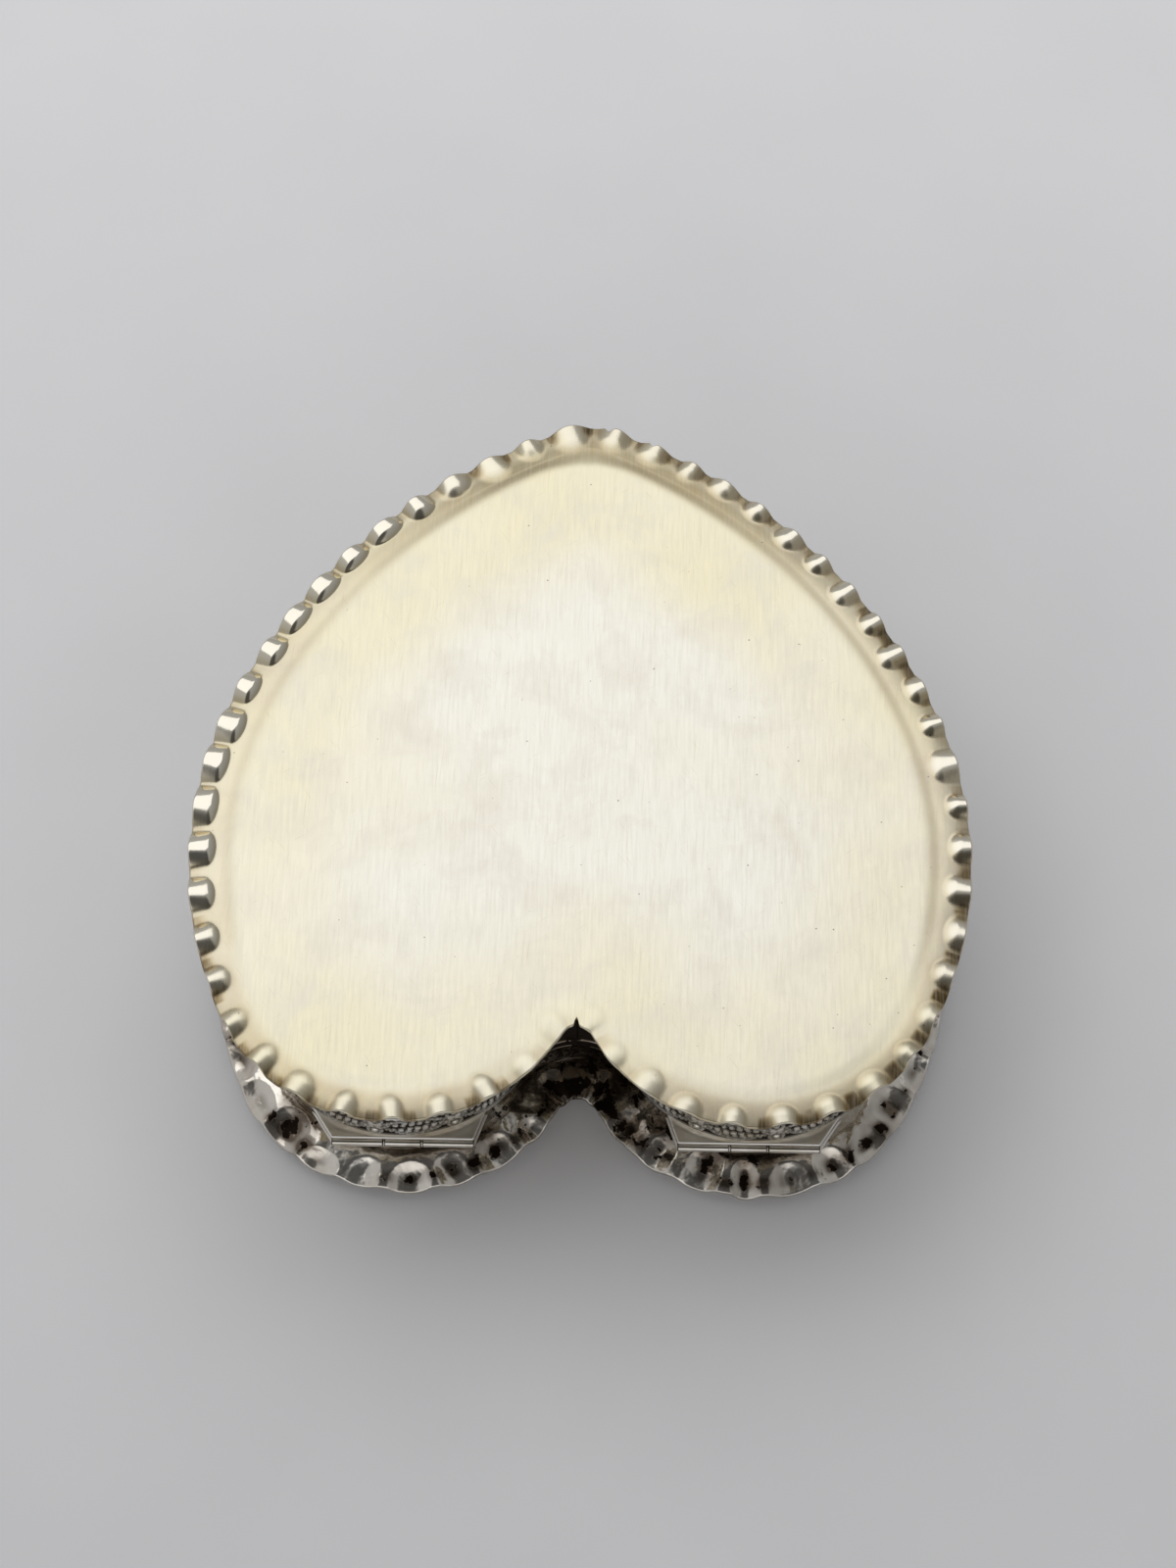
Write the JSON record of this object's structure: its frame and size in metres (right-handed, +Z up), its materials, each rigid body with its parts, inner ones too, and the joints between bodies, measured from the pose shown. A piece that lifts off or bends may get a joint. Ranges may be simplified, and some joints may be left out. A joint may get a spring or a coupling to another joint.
{
  "type": "heart-shaped jewelry box",
  "caption": "Heart-shaped hinged silver jewelry box with crimped rims, chased walls and a plain satin base, lying upside down on its lid.",
  "frame": {"origin": "middle of the heart's bounding rectangle, on the surface that the crown of the lid lies on", "axes": "+Z up as the box was pictured, turned over on its lid, so the plain base faces +Z and the lid -Z; +Y to the tip of the heart, -Y to the two lobes with the hinges, X across"},
  "size_m": [0.1148, 0.1176, 0.0348],
  "materials": {
    "satin_silver": "satin",
    "polished_silver": "polished",
    "chased_silver": "satin",
    "velvet": "matte"
  },
  "bodies": {
    "lid": {"lid_panel": "polished_silver", "lid_skirt": "polished_silver", "lid_ledge_left": "polished_silver", "lid_ledge_right": "polished_silver", "lid_knuckle_left": "polished_silver", "lid_knuckle_right": "polished_silver", "hinge_pin_left": "polished_silver", "hinge_pin_right": "polished_silver", "lid_pad": "velvet"},
    "box": {"base_plate": "satin_silver", "wall_left": "chased_silver", "wall_right": "chased_silver", "mouth_moulding": "polished_silver", "bezel": "polished_silver", "box_ledge_left": "polished_silver", "box_ledge_right": "polished_silver", "box_knuckle_left_inner": "polished_silver", "box_knuckle_left_outer": "polished_silver", "box_knuckle_right_inner": "polished_silver", "box_knuckle_right_outer": "polished_silver", "wall_lining": "velvet", "base_pad": "velvet"}
  },
  "joints": [
    {"name": "box_hinge", "type": "hinge", "parent": "lid", "child": "box", "pos_m": [0, -0.0528, 0.0108], "axis": [1, 0, 0], "range_deg": [0, 98]}
  ]
}
